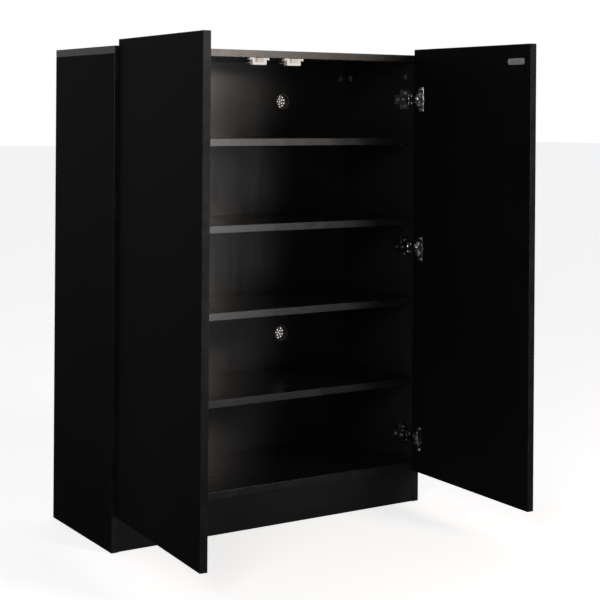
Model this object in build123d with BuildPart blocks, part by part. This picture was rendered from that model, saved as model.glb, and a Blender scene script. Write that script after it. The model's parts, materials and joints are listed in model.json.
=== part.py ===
"""Shoe cabinet: a board carcass with four shelves and two hinged doors, shown with its doors open.

Frame: millimetres, +Z up, +X to the right as seen from the front, front towards -Y.
The origin lies on the floor, at mid width, in the rear plane that stands against the wall.
Every piece of the left side is drawn where it stands; the right side is its mirror image.
"""
from build123d import *
import math
import os

os.makedirs("parts", exist_ok=True)

# ---- driving dimensions: carcass -------------------------------------------------------
CABINET_WIDTH = 800.0
CABINET_DEPTH = 300.0
CABINET_HEIGHT = 1050.0
BOARD = 16.0
BAND = 0.8
BAND_ROUND = 0.5
SEAM = 0.5
KICK_HEIGHT = 78.0
KICK_SETBACK = 1.5
KICK_LIFT = 0.5
SHELF_FIRST_TOP = 289.0
SHELF_PITCH = 189.0
SHELF_COUNT = 4
SHELF_SETBACK = 10.0
TOP_SHELF_SETBACK = 5.5
SHELF_PLAY = 0.5
SHELF_PIN_DEPTHS = (45.0, 235.0)

# ---- driving dimensions: doors ---------------------------------------------------------
DOOR_WIDTH = 398.0
DOOR_BOTTOM = 75.0
DOOR_HEIGHT = 988.0
DOOR_REVEAL = 1.0
DOOR_GAP = 2.0
OPENING = {"left": 93.5, "right": 89.6}

# ---- driving dimensions: concealed hinges ----------------------------------------------
HINGE_HEIGHTS = {"lower": 153.0, "middle": 597.0, "upper": 946.0}
CUP_CENTRE = 22.0
CUP_RADIUS = 17.4
CUP_DEPTH = 12.4
CUP_WALL = 1.0
CUP_SCREW_ACROSS = 28.0
CUP_SCREW_HALF_PITCH = 24.0
FLANGE = 1.2
FLANGE_BAR = 3.0
FLANGE_HALF_HEIGHT = 29.0
# pivots: distance from the cabinet's outer face and depth behind its front plane
INNER_ARM_PIVOT = (29.4, 8.0)
OUTER_ARM_PIVOT = (27.2, 0.2)
# pivots: distance from the door's hinge edge and depth below its inner face
INNER_CUP_PIVOT = (9.6, 3.2)
OUTER_CUP_PIVOT = (11.0, 6.5)
# degrees that each link turns for one degree of door opening, against the door's turn
INNER_LINK_RATE = 0.3201
OUTER_LINK_RATE = 0.2425
ARM_PIN_RADIUS = 1.5
LINK_PIN_RADIUS = 1.2
STUB_RADIUS = 1.0
RUNNING_FIT = 0.05
PRESS_FIT = 0.02
PLATE_DEPTH = 37.0
PLATE_SCREW_HALF_PITCH = 16.0
ARM_REAR = 58.0

# ---- driving dimensions: fittings ------------------------------------------------------
CAM_DEPTHS = (37.0, 263.0)
CAM_REACH = 34.0
CAM_RADIUS = 7.5
CAM_THICKNESS = 12.5
CATCH_CENTRE = 45.0
CATCH_SETBACK = 5.0
CATCH_STROKE = 4.0
STRIKE_LENGTH = 53.0
STRIKE_HEIGHT = 13.8
STRIKE_THICKNESS = 1.2
STRIKE_CENTRE_Z = 1026.0
STRIKE_SCREW_HALF_PITCH = 20.0
VENT_OFFSET = 195.0
VENT_HEIGHTS = (371.0, 940.0)
VENT_RADIUS = 17.2
VENT_WALL = 0.8
VENT_FLANGE_RADIUS = 18.6
VENT_SLEEVE = 13.5

# ---- worked-out places -----------------------------------------------------------------
OUTER_X = -CABINET_WIDTH / 2
INNER_X = OUTER_X + BOARD
FRONT_Y = -CABINET_DEPTH
BACK_FACE_Y = -BOARD
TOP_UNDERSIDE = CABINET_HEIGHT - BOARD
BOTTOM_TOP = KICK_HEIGHT + BOARD
DOOR_TOP = DOOR_BOTTOM + DOOR_HEIGHT
SIDES = ("left", "right")
FLOOR_PLANE = Plane.XY


def finish(part, name):
    """Label a finished piece and write it to its own file."""
    part.part.label = name
    export_step(part.part, f"parts/{name}.step")


def mirror_if_right(side):
    """Swap the open part for its mirror image when it belongs to the right side."""
    if side == "right":
        mirror(about=Plane.YZ, mode=Mode.REPLACE)


def slab(x_range, y_range, z_range, mode=Mode.ADD):
    """A plain board between three pairs of limits, in the open part."""
    with BuildSketch(FLOOR_PLANE.offset(z_range[0]), mode=Mode.PRIVATE) as outline:
        with Locations(((x_range[0] + x_range[1]) / 2, (y_range[0] + y_range[1]) / 2)):
            Rectangle(x_range[1] - x_range[0], y_range[1] - y_range[0])
    extrude(outline.sketch, z_range[1] - z_range[0], mode=mode)


def rod(start, direction, radius, length, mode=Mode.ADD):
    """A round bar or bore from start along direction, in the open part."""
    plane = Plane(origin=start, z_dir=direction)
    with BuildSketch(plane, mode=Mode.PRIVATE) as outline:
        Circle(radius)
    extrude(outline.sketch, length, mode=mode)


def front(depth):
    """The Y of a point that lies this deep behind the cabinet's front plane."""
    return FRONT_Y + depth


def inward(distance):
    """The X of a point this far inside the cabinet's outer left face."""
    return OUTER_X + distance


# ---- the door's path -------------------------------------------------------------------
def turn(vector, degrees):
    """A plane vector turned anticlockwise as seen from above."""
    angle = math.radians(degrees)
    return (
        vector[0] * math.cos(angle) - vector[1] * math.sin(angle),
        vector[0] * math.sin(angle) + vector[1] * math.cos(angle),
    )


def closed_point(across, deep):
    """A door point with the door shut: inward from the outer face, behind the front plane."""
    return (DOOR_REVEAL + across, -DOOR_GAP - deep)


def door_point(opening, across, deep):
    """The same door point at a given opening, carried by the inner link."""
    pivot = closed_point(*INNER_CUP_PIVOT)
    link = (pivot[0] - INNER_ARM_PIVOT[0], pivot[1] - INNER_ARM_PIVOT[1])
    swung = turn(link, INNER_LINK_RATE * opening)
    shut = closed_point(across, deep)
    carried = turn((shut[0] - pivot[0], shut[1] - pivot[1]), -opening)
    return (
        INNER_ARM_PIVOT[0] + swung[0] + carried[0],
        INNER_ARM_PIVOT[1] + swung[1] + carried[1],
    )


def door_xy(side, across, deep):
    """World X and Y of a door point of the left-hand drawing, at that side's rest opening."""
    point = door_point(OPENING[side], across, deep)
    return inward(point[0]), front(point[1])


def door_directions(side):
    """Unit vectors along the door's width and out of its inner face."""
    along = turn((1, 0), -OPENING[side])
    out = turn((0, 1), -OPENING[side])
    return Vector(*along, 0), Vector(*out, 0)


def door_plan(side, height):
    """A horizontal plane on the door: x runs along its width, y out of its inner face."""
    along, _ = door_directions(side)
    return Plane(origin=(*door_xy(side, 0, 0), height), x_dir=along, z_dir=(0, 0, 1))


def door_face(side, across, height, lift=0.0):
    """A plane on the door's inner face at one point, facing out of it, with x pointing up."""
    _, out = door_directions(side)
    origin = Vector(*door_xy(side, across, 0), height) + out * lift
    return Plane(origin=origin, x_dir=(0, 0, 1), z_dir=out)


# ---- carcass ---------------------------------------------------------------------------
def shelf_top(index):
    return SHELF_FIRST_TOP + SHELF_PITCH * index


def shelf_setback(index):
    return TOP_SHELF_SETBACK if index == SHELF_COUNT - 1 else SHELF_SETBACK


BOLT_RADIUS = 2.6
BOLT_THREAD = 11.0
BOLT_Z = TOP_UNDERSIDE - CAM_REACH
BOTTOM_CAM_DEPTHS = (37.0, 240.0)
BOTTOM_CAM_X = INNER_X + CAM_REACH
DOWEL_RADIUS = 4.0
DOWEL_SHORT = 11.0
DOWEL_LONG = 18.0
TOP_DOWEL_DEPTHS = (75.0, 225.0)
BOTTOM_DOWEL_DEPTHS = (70.0, 205.0)
BACK_DOWEL_HEIGHTS = (200.0, 560.0, 900.0)
KICK_DOWEL_HEIGHT = 40.0
MID_BOARD = BOARD / 2
BORE_PLAY = 0.1
PEG_RADIUS = 2.5
PEG_LENGTH = 8.0
WOOD_SCREW_RADIUS = 1.9
WOOD_SCREW_LENGTH = 11.0


def dowel_lines():
    """Start, direction and length of each dowel on the left side."""
    length = DOWEL_SHORT + DOWEL_LONG
    mid_x = OUTER_X + MID_BOARD
    lines = []
    for depth in TOP_DOWEL_DEPTHS:
        lines.append(((mid_x, front(depth), TOP_UNDERSIDE - DOWEL_LONG), (0, 0, 1), length))
    start_x = INNER_X - DOWEL_SHORT
    for depth in BOTTOM_DOWEL_DEPTHS:
        lines.append(((start_x, front(depth), KICK_HEIGHT + MID_BOARD), (1, 0, 0), length))
    for height in BACK_DOWEL_HEIGHTS:
        lines.append(((start_x, BACK_FACE_Y + MID_BOARD, height), (1, 0, 0), length))
    kick_y = front(KICK_SETBACK + MID_BOARD)
    lines.append(((start_x, kick_y, KICK_DOWEL_HEIGHT), (1, 0, 0), length))
    return lines


def bore_dowels():
    """Cut the left side's dowel bores out of the open part."""
    for start, direction, length in dowel_lines():
        axis = Vector(direction)
        rod(Vector(start) - axis * BORE_PLAY, axis, DOWEL_RADIUS + BORE_PLAY,
            length + 2 * BORE_PLAY, Mode.SUBTRACT)


def bore_both_ends(bore):
    """Run a left-side bore on the open part, then again on its mirror image."""
    bore()
    mirror(about=Plane.YZ, mode=Mode.REPLACE)
    bore()
    mirror(about=Plane.YZ, mode=Mode.REPLACE)


def bore_top_bolts():
    """Cut the bores of the left side's two upper cam bolts."""
    for depth in CAM_DEPTHS:
        start = (OUTER_X + MID_BOARD, front(depth), BOLT_Z)
        rod(start, (0, 0, 1), BOLT_RADIUS + BORE_PLAY, CAM_REACH + BOLT_THREAD + BORE_PLAY,
            Mode.SUBTRACT)


def bore_bottom_bolts():
    """Cut the bores of the left side's two lower cam bolts."""
    for depth in BOTTOM_CAM_DEPTHS:
        start = (INNER_X - BOLT_THREAD - BORE_PLAY, front(depth), KICK_HEIGHT + MID_BOARD)
        rod(start, (1, 0, 0), BOLT_RADIUS + BORE_PLAY, CAM_REACH + BOLT_THREAD, Mode.SUBTRACT)


def side_panel(side):
    """An upright side, bored for cams, dowels, hinge plates and shelf pins."""
    with BuildPart() as panel:
        slab((OUTER_X, INNER_X), (front(BAND), 0), (0, TOP_UNDERSIDE))
        for depth in CAM_DEPTHS:
            start = (INNER_X, front(depth), BOLT_Z)
            rod(start, (-1, 0, 0), CAM_RADIUS + BORE_PLAY, CAM_THICKNESS + BORE_PLAY,
                Mode.SUBTRACT)
        bore_top_bolts()
        bore_bottom_bolts()
        bore_dowels()
        for height in HINGE_HEIGHTS.values():
            for offset in (-PLATE_SCREW_HALF_PITCH, PLATE_SCREW_HALF_PITCH):
                rod((INNER_X, front(PLATE_DEPTH), height + offset), (-1, 0, 0),
                    WOOD_SCREW_RADIUS + BORE_PLAY, WOOD_SCREW_LENGTH + 1, Mode.SUBTRACT)
        for index in range(SHELF_COUNT):
            for depth in SHELF_PIN_DEPTHS:
                height = shelf_top(index) - BOARD - PEG_RADIUS
                rod((INNER_X, front(depth), height), (-1, 0, 0), PEG_RADIUS + BORE_PLAY,
                    PEG_LENGTH + 1, Mode.SUBTRACT)
        mirror_if_right(side)
    return panel


def top_panel():
    """The top board, which lies over both sides."""
    half = CABINET_WIDTH / 2 - BAND
    with BuildPart() as panel:
        slab((-half, half), (front(BAND), 0), (TOP_UNDERSIDE, CABINET_HEIGHT))
        bore_both_ends(bore_top_bolts)
        bore_both_ends(bore_dowels)
        for sign in (-1, 1):
            for start in catch_screw_tops():
                rod((sign * CATCH_CENTRE + start[0], start[1], TOP_UNDERSIDE), (0, 0, 1),
                    start[2] + BORE_PLAY, CATCH_SCREW_REACH + BORE_PLAY, Mode.SUBTRACT)
    return panel


def bottom_panel():
    """The lowest shelf, between the sides and over the kick board."""
    with BuildPart() as panel:
        slab((INNER_X, -INNER_X), (front(BAND), BACK_FACE_Y), (KICK_HEIGHT, BOTTOM_TOP))
        bore_both_ends(bore_bottom_bolts)
        bore_both_ends(bore_dowels)
        for sign in (-1, 1):
            for depth in BOTTOM_CAM_DEPTHS:
                rod((sign * BOTTOM_CAM_X, front(depth), KICK_HEIGHT), (0, 0, 1),
                    CAM_RADIUS + BORE_PLAY, CAM_THICKNESS + BORE_PLAY, Mode.SUBTRACT)
    return panel


def kick_panel():
    """The board under the bottom shelf that closes the front down to the floor."""
    rear = KICK_SETBACK + BOARD
    with BuildPart() as panel:
        slab((INNER_X, -INNER_X), (front(KICK_SETBACK), front(rear)), (KICK_LIFT, KICK_HEIGHT))
        bore_both_ends(bore_dowels)
    return panel


def back_panel():
    """The full-height back between the sides, with four round vent holes."""
    with BuildPart() as panel:
        slab((INNER_X, -INNER_X), (BACK_FACE_Y, 0), (0, TOP_UNDERSIDE))
        bore_both_ends(bore_dowels)
        for height in VENT_HEIGHTS:
            for sign in (-1, 1):
                rod((sign * VENT_OFFSET, BACK_FACE_Y, height), (0, 1, 0),
                    VENT_RADIUS + BORE_PLAY, BOARD, Mode.SUBTRACT)
    return panel


def shelf(index):
    """A loose shelf that lies on four pins."""
    half = -INNER_X - SHELF_PLAY
    edge = front(shelf_setback(index) + BAND)
    with BuildPart() as board:
        slab((-half, half), (edge, BACK_FACE_Y - SHELF_PLAY),
             (shelf_top(index) - BOARD, shelf_top(index)))
    return board


def carcass_edge_bands():
    """The thin strips that cover the cut front edges, and the ends of the top."""
    half = CABINET_WIDTH / 2
    with BuildPart() as bands:
        for sign in (-1, 1):
            limits = sorted((sign * OUTER_X, sign * INNER_X))
            slab(limits, (FRONT_Y, front(BAND)), (0, TOP_UNDERSIDE))
            ends = sorted((sign * half, sign * (half - BAND)))
            slab(ends, (front(BAND), 0), (TOP_UNDERSIDE + SEAM, CABINET_HEIGHT))
        slab((-half, half), (FRONT_Y, front(BAND)), (TOP_UNDERSIDE, CABINET_HEIGHT))
        slab((INNER_X, -INNER_X), (FRONT_Y, front(BAND)), (KICK_HEIGHT, BOTTOM_TOP))
        fillet(bands.edges().group_by(Axis.Y)[0], radius=BAND_ROUND)
    return bands


def on_a_shelf_front(edge):
    """Whether an edge lies in the foremost plane of one of the shelves."""
    fronts = (front(TOP_SHELF_SETBACK), front(SHELF_SETBACK))
    return any(math.isclose(edge.center().Y, plane_y, abs_tol=BAND / 10) for plane_y in fronts)


def shelf_edge_bands():
    """One strip on the front edge of each shelf."""
    half = -INNER_X - SHELF_PLAY
    with BuildPart() as bands:
        for index in range(SHELF_COUNT):
            setback = shelf_setback(index)
            slab((-half, half), (front(setback), front(setback + BAND)),
                 (shelf_top(index) - BOARD, shelf_top(index)))
        long_edges = bands.edges().filter_by(Axis.X)
        fillet([edge for edge in long_edges if on_a_shelf_front(edge)], radius=BAND_ROUND)
    return bands


# ---- knock-down fittings ---------------------------------------------------------------
CAM_SLOT_WIDTH = 1.6
CAM_SLOT_LENGTH = 9.0
CAM_SLOT_DEPTH = 1.4
CAM_THROAT_RADIUS = 3.2
BOLT_HEAD_GAP = 1.0


def cam(plane, throat_depth, throat_direction):
    """A cam disc sunk below plane, with a cross slot and a throat for its bolt's head."""
    rod(plane.origin - plane.z_dir * CAM_THICKNESS, plane.z_dir, CAM_RADIUS, CAM_THICKNESS)
    with BuildSketch(plane, mode=Mode.PRIVATE) as cross:
        Rectangle(CAM_SLOT_LENGTH, CAM_SLOT_WIDTH, rotation=35)
        Rectangle(CAM_SLOT_WIDTH, CAM_SLOT_LENGTH, rotation=35)
    extrude(cross.sketch, -CAM_SLOT_DEPTH, mode=Mode.SUBTRACT)
    centre = plane.origin - plane.z_dir * throat_depth
    rod(centre, throat_direction, CAM_THROAT_RADIUS, CAM_RADIUS + 1, Mode.SUBTRACT)


def cam_locks():
    """Four cams in the side panels and four in the underside of the bottom board."""
    with BuildPart() as cams:
        for sign in (-1, 1):
            for depth in CAM_DEPTHS:
                face = Plane(origin=(-sign * INNER_X, front(depth), BOLT_Z), z_dir=(-sign, 0, 0))
                cam(face, MID_BOARD, (0, 0, 1))
            for depth in BOTTOM_CAM_DEPTHS:
                face = Plane(origin=(-sign * BOTTOM_CAM_X, front(depth), KICK_HEIGHT),
                             z_dir=(0, 0, -1))
                cam(face, MID_BOARD, (sign, 0, 0))
    return cams


def cam_bolts():
    """The headed pins that the cams pull on, screwed into the mating board."""
    shank = CAM_REACH - BOLT_HEAD_GAP
    with BuildPart() as bolts:
        for sign in (-1, 1):
            for depth in CAM_DEPTHS:
                rod((sign * (OUTER_X + MID_BOARD), front(depth), BOLT_Z + BOLT_HEAD_GAP),
                    (0, 0, 1), BOLT_RADIUS, shank + BOLT_THREAD)
            for depth in BOTTOM_CAM_DEPTHS:
                rod((sign * (BOTTOM_CAM_X - BOLT_HEAD_GAP), front(depth),
                     KICK_HEIGHT + MID_BOARD), (-sign, 0, 0), BOLT_RADIUS, shank + BOLT_THREAD)
    return bolts


def wood_dowels():
    """Glued beech dowels in every board joint."""
    with BuildPart() as dowels:
        for start, direction, length in dowel_lines():
            rod(start, direction, DOWEL_RADIUS, length)
        mirror(about=Plane.YZ)
    return dowels


TONGUE_LENGTH = 7.0
TONGUE_WIDTH = 9.0
TONGUE_THICKNESS = 2.0


def shelf_pins():
    """Pegs in the side panels, each with a flat tongue under a shelf."""
    with BuildPart() as pins:
        for index in range(SHELF_COUNT):
            underside = shelf_top(index) - BOARD
            for depth in SHELF_PIN_DEPTHS:
                rod((INNER_X - PEG_LENGTH, front(depth), underside - PEG_RADIUS), (1, 0, 0),
                    PEG_RADIUS, PEG_LENGTH + TONGUE_THICKNESS)
                slab((INNER_X, INNER_X + TONGUE_LENGTH),
                     (front(depth) - TONGUE_WIDTH / 2, front(depth) + TONGUE_WIDTH / 2),
                     (underside - TONGUE_THICKNESS, underside))
        mirror(about=Plane.YZ)
    return pins


VENT_FLANGE = 1.4
VENT_GRID = 1.2
VENT_HOLE_RADIUS = 1.9
VENT_OUTER_HOLES = 10
VENT_INNER_HOLES = 5
VENT_OUTER_RING = 12.4
VENT_INNER_RING = 6.6


def vent_grommets(side):
    """Push-in vents: a flange, a sleeve through the back and a perforated disc at its end."""
    with BuildPart() as vents:
        for height in VENT_HEIGHTS:
            face = Plane(origin=(-VENT_OFFSET, BACK_FACE_Y, height), z_dir=(0, -1, 0))
            with BuildSketch(face, mode=Mode.PRIVATE) as flange:
                Circle(VENT_FLANGE_RADIUS)
                Circle(VENT_RADIUS - VENT_WALL, mode=Mode.SUBTRACT)
            extrude(flange.sketch, VENT_FLANGE)
            with BuildSketch(face, mode=Mode.PRIVATE) as sleeve:
                Circle(VENT_RADIUS)
                Circle(VENT_RADIUS - VENT_WALL, mode=Mode.SUBTRACT)
            extrude(sleeve.sketch, -VENT_SLEEVE)
            with BuildSketch(face.offset(-VENT_SLEEVE), mode=Mode.PRIVATE) as grid:
                Circle(VENT_RADIUS)
                Circle(VENT_HOLE_RADIUS, mode=Mode.SUBTRACT)
                with PolarLocations(VENT_OUTER_RING, VENT_OUTER_HOLES):
                    Circle(VENT_HOLE_RADIUS, mode=Mode.SUBTRACT)
                with PolarLocations(VENT_INNER_RING, VENT_INNER_HOLES, start_angle=18):
                    Circle(VENT_HOLE_RADIUS, mode=Mode.SUBTRACT)
            extrude(grid.sketch, VENT_GRID)
        mirror_if_right(side)
    return vents


# ---- doors -----------------------------------------------------------------------------
def door_panel(side):
    """A full-overlay door board, bored for its cups, strike plate and their screws."""
    with BuildPart() as panel:
        with BuildSketch(door_plan(side, DOOR_BOTTOM + BAND)):
            with Locations((DOOR_WIDTH / 2, -BOARD / 2)):
                Rectangle(DOOR_WIDTH - 2 * BAND, BOARD)
        extrude(amount=DOOR_HEIGHT - 2 * BAND)
        for height in HINGE_HEIGHTS.values():
            with BuildSketch(door_face(side, CUP_CENTRE, height)):
                Circle(CUP_RADIUS + BORE_PLAY)
            extrude(amount=-CUP_DEPTH - BORE_PLAY, mode=Mode.SUBTRACT)
            for offset in (-CUP_SCREW_HALF_PITCH, CUP_SCREW_HALF_PITCH):
                with BuildSketch(door_face(side, CUP_SCREW_ACROSS, height + offset)):
                    Circle(WOOD_SCREW_RADIUS + BORE_PLAY)
                extrude(amount=-WOOD_SCREW_LENGTH - 1, mode=Mode.SUBTRACT)
        for offset in (-STRIKE_SCREW_HALF_PITCH, STRIKE_SCREW_HALF_PITCH):
            with BuildSketch(door_face(side, strike_across() + offset, STRIKE_CENTRE_Z)):
                Circle(STRIKE_SCREW_RADIUS + BORE_PLAY)
            extrude(amount=-STRIKE_SCREW_LENGTH - 1, mode=Mode.SUBTRACT)
        mirror_if_right(side)
    return panel


def door_edge_band(side):
    """One strip that runs round all four edges of a door."""
    _, out = door_directions(side)
    centre = Vector(*door_xy(side, DOOR_WIDTH / 2, 0), DOOR_BOTTOM + DOOR_HEIGHT / 2)
    face = Plane(origin=centre, x_dir=(0, 0, 1), z_dir=out)
    with BuildPart() as band:
        with BuildSketch(face):
            Rectangle(DOOR_HEIGHT, DOOR_WIDTH)
        extrude(amount=-BOARD)
        fillet(band.edges(), radius=BAND_ROUND)
        with BuildSketch(face):
            Rectangle(DOOR_HEIGHT - 2 * BAND, DOOR_WIDTH - 2 * BAND)
        extrude(amount=-BOARD, mode=Mode.SUBTRACT)
        mirror_if_right(side)
    return band


STRIKE_SCREW_RADIUS = 1.5
STRIKE_SCREW_LENGTH = 10.0
STRIKE_SCREW_HEAD = 3.0
STRIKE_HEAD_RISE = 0.3
STRIKE_CORNER = 5.5


def strike_across():
    """How far the strike plate's centre lies from the door's hinge edge."""
    return CABINET_WIDTH / 2 - CATCH_CENTRE - DOOR_REVEAL


def strike_plate(side):
    """The steel plate that the catch's magnet holds."""
    with BuildPart() as plate:
        with BuildSketch(door_face(side, strike_across(), STRIKE_CENTRE_Z)):
            RectangleRounded(STRIKE_HEIGHT, STRIKE_LENGTH, STRIKE_CORNER)
            with GridLocations(0, 2 * STRIKE_SCREW_HALF_PITCH, 1, 2):
                Circle(STRIKE_SCREW_HEAD, mode=Mode.SUBTRACT)
        extrude(amount=STRIKE_THICKNESS)
        mirror_if_right(side)
    return plate


def strike_screws(side):
    """Two flat-headed wood screws, let into the strike plate."""
    with BuildPart() as screws:
        for offset in (-STRIKE_SCREW_HALF_PITCH, STRIKE_SCREW_HALF_PITCH):
            across = strike_across() + offset
            face = door_face(side, across, STRIKE_CENTRE_Z)
            with BuildSketch(face):
                Circle(STRIKE_SCREW_HEAD)
            extrude(amount=STRIKE_THICKNESS + STRIKE_HEAD_RISE)
            with BuildSketch(face):
                Circle(STRIKE_SCREW_RADIUS)
            extrude(amount=-STRIKE_SCREW_LENGTH)
            cross_recess(face.offset(STRIKE_THICKNESS + STRIKE_HEAD_RISE))
        mirror_if_right(side)
    return screws


def cross_recess(plane, size=3.0, depth=0.8):
    """Cut a cross-head driver recess into the open part, below plane."""
    with BuildSketch(plane, mode=Mode.PRIVATE) as cross:
        Rectangle(size, size / 4)
        Rectangle(size / 4, size)
    extrude(cross.sketch, -depth, mode=Mode.SUBTRACT)


# ---- hinge: door side ------------------------------------------------------------------
POST_LIMITS = (4.6, 6.0)
POST_SPAN = (7.4, 12.8)
POST_TOP = 1.6
INNER_LINK_HALF_WIDTH = 4.2
OUTER_LINK_LIMITS = (6.4, 7.9)
ARM_STUB_START = 6.1
CUP_STUB_START = 4.7
CUP_STUB_END = 12.0
FLANGE_NOTCH = 11.5
WING_WIDTH = 20.0
WING_CORNER = 2.5
FLANGE_LIP = 3.0
FLANGE_BEVEL = 1.4
BEVEL_ANGLE = 40.0
FLANGE_RING = 19.4
CUP_HEAD_RADIUS = 3.5
CUP_HEAD_RISE = 2.2


def hinge_cup(side, height):
    """A pressed steel cup with its screw flange, and two posts that hold the inner pin."""
    face = door_face(side, CUP_CENTRE, height)
    bore = CUP_RADIUS - CUP_WALL
    with BuildPart() as cup:
        with BuildSketch(face):
            Circle(CUP_RADIUS)
        extrude(amount=-CUP_DEPTH)
        with BuildSketch(face):
            Circle(FLANGE_RING)
            with Locations((0, CUP_SCREW_ACROSS - CUP_CENTRE)):
                RectangleRounded(2 * FLANGE_HALF_HEIGHT, WING_WIDTH, WING_CORNER)
        extrude(amount=FLANGE)
        far_edge = CUP_SCREW_ACROSS + WING_WIDTH / 2 - CUP_CENTRE
        raised = FLANGE_BAR - FLANGE
        for taper in (0, 1):
            with BuildSketch(face.offset(FLANGE + taper * (raised - FLANGE_BEVEL))):
                with Locations((0, far_edge - FLANGE_LIP / 2)):
                    Rectangle(2 * FLANGE_HALF_HEIGHT, FLANGE_LIP)
            extrude(amount=(1 - taper) * (raised - FLANGE_BEVEL) + taper * FLANGE_BEVEL,
                    taper=taper * BEVEL_ANGLE)
        with BuildSketch(face.offset(FLANGE)):
            Circle(bore)
        extrude(amount=-(FLANGE + CUP_DEPTH - CUP_WALL), mode=Mode.SUBTRACT)
        with BuildSketch(face):
            with Locations((0, -FLANGE_RING / 2 - CUP_CENTRE / 4)):
                Rectangle(2 * FLANGE_NOTCH, FLANGE_RING)
        extrude(amount=FLANGE, mode=Mode.SUBTRACT)
        with BuildSketch(face):
            with Locations((0, CUP_SCREW_ACROSS - CUP_CENTRE)):
                with GridLocations(2 * CUP_SCREW_HALF_PITCH, 0, 2, 1):
                    Circle(WOOD_SCREW_RADIUS + BORE_PLAY)
        extrude(amount=FLANGE, mode=Mode.SUBTRACT)
        with BuildSketch(face.offset(-CUP_DEPTH + CUP_WALL)):
            with Locations((0, sum(POST_SPAN) / 2 - CUP_CENTRE)):
                with GridLocations(sum(POST_LIMITS), 0, 2, 1):
                    Rectangle(POST_LIMITS[1] - POST_LIMITS[0], POST_SPAN[1] - POST_SPAN[0])
        extrude(amount=CUP_DEPTH - CUP_WALL - POST_TOP)
        pin_x, pin_y = door_xy(side, *INNER_CUP_PIVOT)
        rod((pin_x, pin_y, height - POST_LIMITS[1] - 1), (0, 0, 1),
            LINK_PIN_RADIUS + PRESS_FIT, 2 * POST_LIMITS[1] + 2, Mode.SUBTRACT)
        stub_x, stub_y = door_xy(side, *OUTER_CUP_PIVOT)
        rod((stub_x, stub_y, height - CUP_RADIUS), (0, 0, 1), STUB_RADIUS + PRESS_FIT,
            2 * CUP_RADIUS, Mode.SUBTRACT)
        mirror_if_right(side)
    return cup


def cup_pins(side):
    """In each cup, one pin for the inner link and a pair of stub pins for the outer link."""
    with BuildPart() as pins:
        for height in HINGE_HEIGHTS.values():
            pin_x, pin_y = door_xy(side, *INNER_CUP_PIVOT)
            rod((pin_x, pin_y, height - POST_LIMITS[1]), (0, 0, 1), LINK_PIN_RADIUS,
                2 * POST_LIMITS[1])
            stub_x, stub_y = door_xy(side, *OUTER_CUP_PIVOT)
            length = CUP_STUB_END - CUP_STUB_START
            for start in (height - CUP_STUB_END, height + CUP_STUB_START):
                rod((stub_x, stub_y, start), (0, 0, 1), STUB_RADIUS, length)
        mirror_if_right(side)
    return pins


def cup_screws(side):
    """Two wood screws through each cup's flange."""
    with BuildPart() as screws:
        for height in HINGE_HEIGHTS.values():
            for offset in (-CUP_SCREW_HALF_PITCH, CUP_SCREW_HALF_PITCH):
                face = door_face(side, CUP_SCREW_ACROSS, height + offset, FLANGE)
                with BuildSketch(face):
                    Circle(CUP_HEAD_RADIUS)
                extrude(amount=CUP_HEAD_RISE)
                with BuildSketch(face):
                    Circle(WOOD_SCREW_RADIUS)
                extrude(amount=-FLANGE - WOOD_SCREW_LENGTH)
                cross_recess(face.offset(CUP_HEAD_RISE))
        mirror_if_right(side)
    return screws


# ---- hinge: links ----------------------------------------------------------------------
INNER_LINK_THICKNESS = 1.8
INNER_LINK_EYE = 2.4
INNER_LINK_KNEE = (21.6, 6.6)
INNER_LINK_SHOULDER = 5.9
INNER_LINK_ARM_EYE = 2.7
OUTER_LINK_THICKNESS = 1.6
OUTER_LINK_EYE = 1.9
OUTER_KNEE_ACROSS = 9.8
OUTER_KNEE_LIFT = 2.9
SLOT_OPENINGS = (100.0, 50.0)
SLOT_PLAY = 0.35


def link_plane(start, end, height):
    """A horizontal plane at an arm pivot, with x towards the cup pivot."""
    direction = Vector(end[0] - start[0], end[1] - start[1], 0)
    return Plane(origin=(*start, height), x_dir=direction, z_dir=(0, 0, 1))


def inner_links(side):
    """A solid cranked link in the middle of each hinge."""
    arm_pin = (inward(INNER_ARM_PIVOT[0]), front(INNER_ARM_PIVOT[1]))
    cup_pin = door_xy(side, *INNER_CUP_PIVOT)
    reach = math.dist(arm_pin, cup_pin)
    with BuildPart() as links:
        for height in HINGE_HEIGHTS.values():
            plane = link_plane(arm_pin, cup_pin, height - INNER_LINK_HALF_WIDTH)
            with BuildSketch(plane):
                with BuildLine():
                    Polyline((0, 0), INNER_LINK_KNEE, (reach, 0))
                    offset(amount=INNER_LINK_THICKNESS / 2)
                make_face()
                Circle(INNER_LINK_ARM_EYE)
                with Locations((reach, 0)):
                    Circle(INNER_LINK_EYE)
                Circle(ARM_PIN_RADIUS + RUNNING_FIT, mode=Mode.SUBTRACT)
                with Locations((reach, 0)):
                    Circle(LINK_PIN_RADIUS + RUNNING_FIT, mode=Mode.SUBTRACT)
            extrude(amount=2 * INNER_LINK_HALF_WIDTH)
            shoulder_plane = plane.offset(INNER_LINK_HALF_WIDTH - INNER_LINK_SHOULDER)
            with BuildSketch(shoulder_plane):
                with BuildLine():
                    Polyline((0, 0), INNER_LINK_KNEE)
                    offset(amount=INNER_LINK_THICKNESS / 2)
                make_face()
                Circle(INNER_LINK_ARM_EYE)
                Circle(ARM_PIN_RADIUS + RUNNING_FIT, mode=Mode.SUBTRACT)
            extrude(amount=2 * INNER_LINK_SHOULDER)
        mirror_if_right(side)
    return links


def slot_end(side, opening):
    """Where the cup's stub stands in the resting outer link when the door is this far open."""
    stub = door_point(opening, *OUTER_CUP_PIVOT)
    arm = (stub[0] - OUTER_ARM_PIVOT[0], stub[1] - OUTER_ARM_PIVOT[1])
    rested = turn(arm, OUTER_LINK_RATE * (OPENING[side] - opening))
    return Vector(inward(OUTER_ARM_PIVOT[0] + rested[0]), front(OUTER_ARM_PIVOT[1] + rested[1]), 0)


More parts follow.
